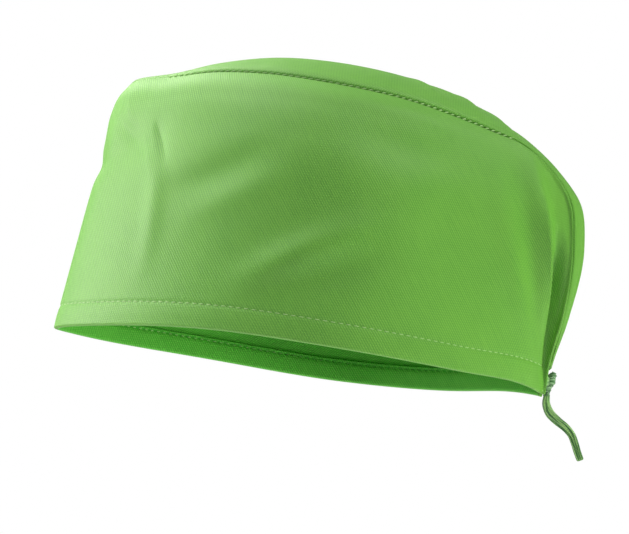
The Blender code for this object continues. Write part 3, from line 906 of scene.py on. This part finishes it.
def hem_stitches(name, height, depth, width, way):
    """A row of stitches at a height and depth: way is 1 where they show outside and -1 inside."""
    up = height / panel_height(around_row)
    line = side_face(around_row, up)
    run = run_lengths(line, 0)
    run = run - run[len(run) // 2]
    places = (np.arange(int(run[0] / HEM_PITCH) + 1, int(run[-1] / HEM_PITCH) - 1) + 0.5) * HEM_PITCH
    around = np.interp(places, run, around_row)
    up = height / panel_height(around)
    outward = facing_out(side_face, around, up)
    step = 2e-3
    along = unit(side_face(around + step, up) - side_face(around - step, up))
    return row_of_stitches(name, side_face(around, up) - depth * outward, along, way * outward,
                           HEM_STITCH_LENGTH, width)


outer_stitches = hem_stitches("hem_stitches_outside", HEM_DEPTH, depth=0.00033, width=0.00045, way=1)
seat(outer_stitches, "side_twill")
inner_stitches = hem_stitches("hem_stitches_inside", INSIDE_DEPTH, depth=0.00185, width=0.0005, way=-1)
seat(inner_stitches, "hem_twill")

# %% [markdown]
# ## Writing finishes as sums
# A finish is a tree of nodes. This small class lets a number on the surface be written as a sum in
# plain Python, and each operator adds its own Math node. Every other node comes from one method.

# %% Numbers and finishes
class Number:
    """A number that changes over the surface."""

    def __init__(self, finish, socket):
        self.finish = finish
        self.socket = socket

    def math(self, operation, *values):
        inputs = dict(enumerate(values))
        node = self.finish.node("ShaderNodeMath", {"operation": operation}, inputs)
        return Number(self.finish, node.outputs[0])

    def __add__(self, other):
        return self.math("ADD", self, other)

    def __sub__(self, other):
        return self.math("SUBTRACT", self, other)

    def __rsub__(self, other):
        return self.math("SUBTRACT", other, self)

    def __mul__(self, other):
        return self.math("MULTIPLY", self, other)

    def __truediv__(self, other):
        return self.math("DIVIDE", self, other)

    __radd__ = __add__
    __rmul__ = __mul__

    def wave(self):
        """A wave from 0 to 1, once for every step of 1."""
        return self.math("SINE", self * (2 * math.pi)) * 0.5 + 0.5

    def bell(self, width):
        """1 at zero, falling to 0 over a width."""
        share = self / width
        return self.math("EXPONENT", share * share * -1)


class Finish:
    """A material on the Principled shader."""

    def __init__(self, name):
        self.material = bpy.data.materials.new(name)
        self.material.use_nodes = True
        self.tree = self.material.node_tree
        self.shader = self.tree.nodes["Principled BSDF"]

    def node(self, kind, settings, inputs):
        node = self.tree.nodes.new(kind)
        for name, value in settings.items():
            setattr(node, name, value)
        for name, value in inputs.items():
            self.feed(node.inputs[name], value)
        return node

    def feed(self, socket, value):
        if isinstance(value, Number):
            self.tree.links.new(value.socket, socket)
        elif isinstance(value, bpy.types.NodeSocket):
            self.tree.links.new(value, socket)
        else:
            socket.default_value = value

    def flat_place(self):
        """The place on the flat cloth, in metres to the right and up."""
        uv = self.node("ShaderNodeUVMap", {}, {})
        parts = self.node("ShaderNodeSeparateXYZ", {}, {0: uv.outputs["UV"]})
        return Number(self, parts.outputs["X"]), Number(self, parts.outputs["Y"])

    def attribute(self, name):
        node = self.node("ShaderNodeAttribute", {"attribute_name": name}, {})
        return Number(self, node.outputs["Fac"])

    def noise(self, right, up, size, detail=2.0):
        """Uneven patches of a size in metres; right and up may be stretched before."""
        place = self.node("ShaderNodeCombineXYZ", {}, {"X": right / size, "Y": up / size})
        node = self.node("ShaderNodeTexNoise", {},
                         {"Vector": place.outputs[0], "Scale": 1.0, "Detail": detail})
        return Number(self, node.outputs["Fac"])

    def paint(self, share, first, second):
        """Base colour that goes from the first colour to the second one."""
        node = self.node("ShaderNodeMix", {"data_type": "RGBA"}, {0: share, 6: first, 7: second})
        self.feed(self.shader.inputs["Base Color"], node.outputs[2])

    def constants(self, **values):
        for name, value in values.items():
            self.shader.inputs[name.replace("_", " ")].default_value = value

    def relief(self, height, depth):
        """Bump the surface by a height from 0 to 1, with a depth in metres."""
        bump = self.node("ShaderNodeBump", {}, {"Height": height, "Distance": depth})
        self.feed(self.shader.inputs["Normal"], bump.outputs["Normal"])


# %% [markdown]
# ## Twill
# Twill has fine slanting ridges, about one to the millimetre here, and each ridge is a row of short
# floats of yarn. The ridges catch the light and the furrows are a little darker: this light and shade
# is bump, and it is also painted into the colour. Uneven yarn and dye make soft patches, and every
# stitch pulls a small pucker. The puckers are bump too, and the shade in the dip beside each stitch
# is partly painted shade in the colour.

# %% The twill finish
RIDGE = 0.00102           # from one ridge of the twill to the next
FLOAT = 0.0014            # length of a float of yarn
WANDER_SIZE = 0.004       # size of the places where the ridges wander
SLUB_SIZE = 0.0012        # width of the thick and thin stretches of yarn
SLUB_STRETCH = 12         # their length, in widths
PATCH_SIZE = 0.03         # size of the soft patches of dye
GRAIN_SIZE = 0.0006
PUCKER_WIDTH = 0.0011
DASH_WIDTH = 0.0007       # of the shaded dip beside each stitch
TWILL_RELIEF = 0.00022    # depth of the bump
FACE_GLOSS = 0.8
BACK_GLOSS = 0.3


def twill(name, light, dark, slant, gloss):
    """Twill with ridges that lean by slant degrees from the upright."""
    finish = Finish(name)
    right, up = finish.flat_place()
    lean = math.radians(slant)
    across = right * math.cos(lean) + up * math.sin(lean)
    along = up * math.cos(lean) - right * math.sin(lean)
    wander = finish.noise(right, up, WANDER_SIZE) * 0.35
    ridge = (across / RIDGE + wander).wave()
    thread = (along / FLOAT + across / RIDGE * 0.5).wave()
    weave = ridge * (thread * 0.5 + 0.5)
    slub = finish.noise(along / SLUB_STRETCH, across, SLUB_SIZE)
    patch = finish.noise(right, up, PATCH_SIZE, 3.0)
    grain = finish.noise(right, up, GRAIN_SIZE)
    gap = finish.attribute("thread_gap")
    count = finish.attribute("thread_count")
    # painted shade: darker colour in the dip beside each stitch
    stitch_shade = (count + 0.25).wave() * gap.bell(DASH_WIDTH)
    # painted light and shade: the weave makes the ridges lighter and the furrows darker in the colour,
    # on top of their bump; slub, grain and patches are the yarn's own tone
    tone = weave * 1.1 + slub * 0.5 + (grain - 0.5) * 0.8 + (patch - 0.5) * 0.5
    tone = tone - stitch_shade * 1.2 - 0.12
    finish.paint(tone, dark, light)
    height = weave * 0.4 + slub * 0.3
    height = height + (count - 0.25).wave() * gap.bell(PUCKER_WIDTH) * 1.1
    finish.relief(height, TWILL_RELIEF)
    finish.constants(Roughness=0.56, Specular_IOR_Level=gloss, Sheen_Weight=0.05, Sheen_Roughness=0.4,
                     Sheen_Tint=(0.9, 1.0, 0.8, 1))
    return finish.material


def dress(piece, *materials):
    """Give a piece its material, or a sheet those of its face and its back."""
    for place, material in enumerate(materials):
        if place < len(piece.data.materials):
            piece.data.materials[place] = material
        else:
            piece.data.materials.append(material)


# %% Dress the three sheets
SIDE_SLANT = 40
CROWN_SLANT = 62
LIGHT_GREEN = (0.145, 0.420, 0.036, 1)
DARK_GREEN = (0.062, 0.265, 0.014, 1)
# painted light: the back's greens, used inside the cap and on the hem's facing, are lighter and more
# saturated than the face's, for the light that shines through the thin cloth
LIGHT_BACK_SHINE_THROUGH = (0.135, 0.52, 0.060, 1)
DARK_BACK_SHINE_THROUGH = (0.045, 0.33, 0.022, 1)
for cloth, label, slant in ((side_cloth, "side", SIDE_SLANT), (crown_cloth, "crown", CROWN_SLANT)):
    dress(cloth, twill(f"{label}_twill", LIGHT_GREEN, DARK_GREEN, slant, FACE_GLOSS),
          twill(f"{label}_back", LIGHT_BACK_SHINE_THROUGH, DARK_BACK_SHINE_THROUGH, slant, BACK_GLOSS))
hem_green = twill("hem_twill", LIGHT_BACK_SHINE_THROUGH, DARK_BACK_SHINE_THROUGH, SIDE_SLANT, BACK_GLOSS)
dress(hem_facing, hem_green, hem_green)
print("sheets dressed")

# %% [markdown]
# ## Cord and thread
# The cord is gathered lengthwise, and the light and shade of its gathers are painted into its colour
# as light and dark streaks that run along it. The thread is plain and a little paler than the cloth.

# %% The finishes of the cord and the thread
STREAK_SIZE = 0.0009      # width of a streak of the gathered cord
STREAK_STRETCH = 14       # its length, in widths
PLAIT = 0.0007            # from one crossing of the cord's yarns to the next
CORD_RELIEF = 0.0003      # depth of the bump
THREAD_GRAIN = 2500.0     # scale of the thread's fibres


def strand(name, light, dark):
    finish = Finish(name)
    round_way, long_way = finish.flat_place()
    streak = finish.noise(round_way, long_way / STREAK_STRETCH, STREAK_SIZE, 3.0)
    weave = ((round_way + long_way) / PLAIT).wave() * ((round_way - long_way) / PLAIT).wave()
    # painted highlight and shade: bright and dark streaks along the gathered cord
    tone = streak * 6.0 + weave * 0.15 - 2.65
    finish.paint(tone, dark, light)
    finish.relief(streak + weave * 0.2, CORD_RELIEF)
    finish.constants(Roughness=0.6, Sheen_Weight=0.3)
    return finish.material


def thread(name, colour):
    finish = Finish(name)
    finish.constants(Roughness=0.6, Sheen_Weight=0.3)
    place = finish.node("ShaderNodeTexCoord", {}, {})
    grain = finish.node("ShaderNodeTexNoise", {},
                        {"Vector": place.outputs["Object"], "Scale": THREAD_GRAIN})
    darker = tuple(0.7 * share for share in colour[:3]) + (1,)
    finish.paint(grain.outputs["Fac"], darker, colour)
    return finish.material


# painted highlight and shade: each cord's light colour is its green lit up and its dark colour its
# green in shade, most strongly on the knot and the loose end
dress(draw_tape, strand("cord_cotton", (0.20, 0.45, 0.12, 1), (0.08, 0.26, 0.05, 1)))
dress(tie_knot, strand("knot_cotton", (0.24, 0.46, 0.22, 1), (0.03, 0.15, 0.03, 1)))
dress(tie_strand, strand("tie_cotton", (0.27, 0.54, 0.15, 1), (0.02, 0.13, 0.02, 1)))
pale_thread = thread("thread", (0.34, 0.62, 0.20, 1))
for row in (seam_stitches, outer_stitches, inner_stitches):
    dress(row, pale_thread)

# %% [markdown]
# ## Light and floor
# A white sky lights the cap softly from everywhere, and five soft panels shape it: one before the
# brow, two high in front, over the near and the far side, and two behind the nape, low and high.
# The low one gives no glints, because its reflection would lay a veil over the side of the cap.
# The floor lies far below the camera.

# %% Floor
FLOOR_HEIGHT = -0.45
FLOOR_SIZE = 8

bpy.ops.object.select_all(action="DESELECT")
bpy.ops.mesh.primitive_plane_add(size=FLOOR_SIZE, location=(0, 0, FLOOR_HEIGHT))
floor = bpy.context.object
floor.name = "floor"

# %% Lamps
WARM_WHITE = (1.0, 0.96, 0.90)
LAMP_AIM = Vector((0, 0, 0.05))

# name, place, size, power, and whether the cloth shows its glints
LAMPS = (
    ("brow_side", (-0.10, -1.24, 0.30), 0.6, 13.5, True),
    ("overhead", (0.38, -0.58, 1.12), 1.0, 14.5, True),
    ("crown_glow", (-0.55, -0.60, 1.05), 0.8, 11, True),
    ("low_nape_side", (0.15, 1.18, -0.34), 0.5, 15, False),
    ("nape_side", (0.56, 0.88, 0.95), 0.8, 7.5, True),
)


def softbox(name, place, size, power, glints):
    lamp = bpy.data.lights.new(name, "AREA")
    lamp.size = size
    lamp.energy = power
    lamp.color = WARM_WHITE
    holder = bpy.data.objects.new(name, lamp)
    holder.location = place
    holder.visible_glossy = glints
    holder.rotation_euler = (LAMP_AIM - Vector(place)).to_track_quat("-Z", "Y").to_euler()
    scene.collection.objects.link(holder)


for row in LAMPS:
    softbox(*row)
print(f"{len(LAMPS)} lamps")

# %% Sky
SKY_LIGHT = 0.24          # the white sky lights the cap less than it shows behind it
sky = bpy.data.worlds.new("sky")
sky.use_nodes = True
nodes = sky.node_tree.nodes
seen = nodes["Background"]
seen.inputs["Color"].default_value = (1, 1, 1, 1)
lit = nodes.new("ShaderNodeBackground")
lit.inputs["Strength"].default_value = SKY_LIGHT
ray = nodes.new("ShaderNodeLightPath")
either = nodes.new("ShaderNodeMixShader")
for place, start in enumerate((ray.outputs["Is Camera Ray"], lit.outputs[0], seen.outputs[0])):
    sky.node_tree.links.new(start, either.inputs[place])
sky.node_tree.links.new(either.outputs[0], nodes["World Output"].inputs["Surface"])
scene.world = sky
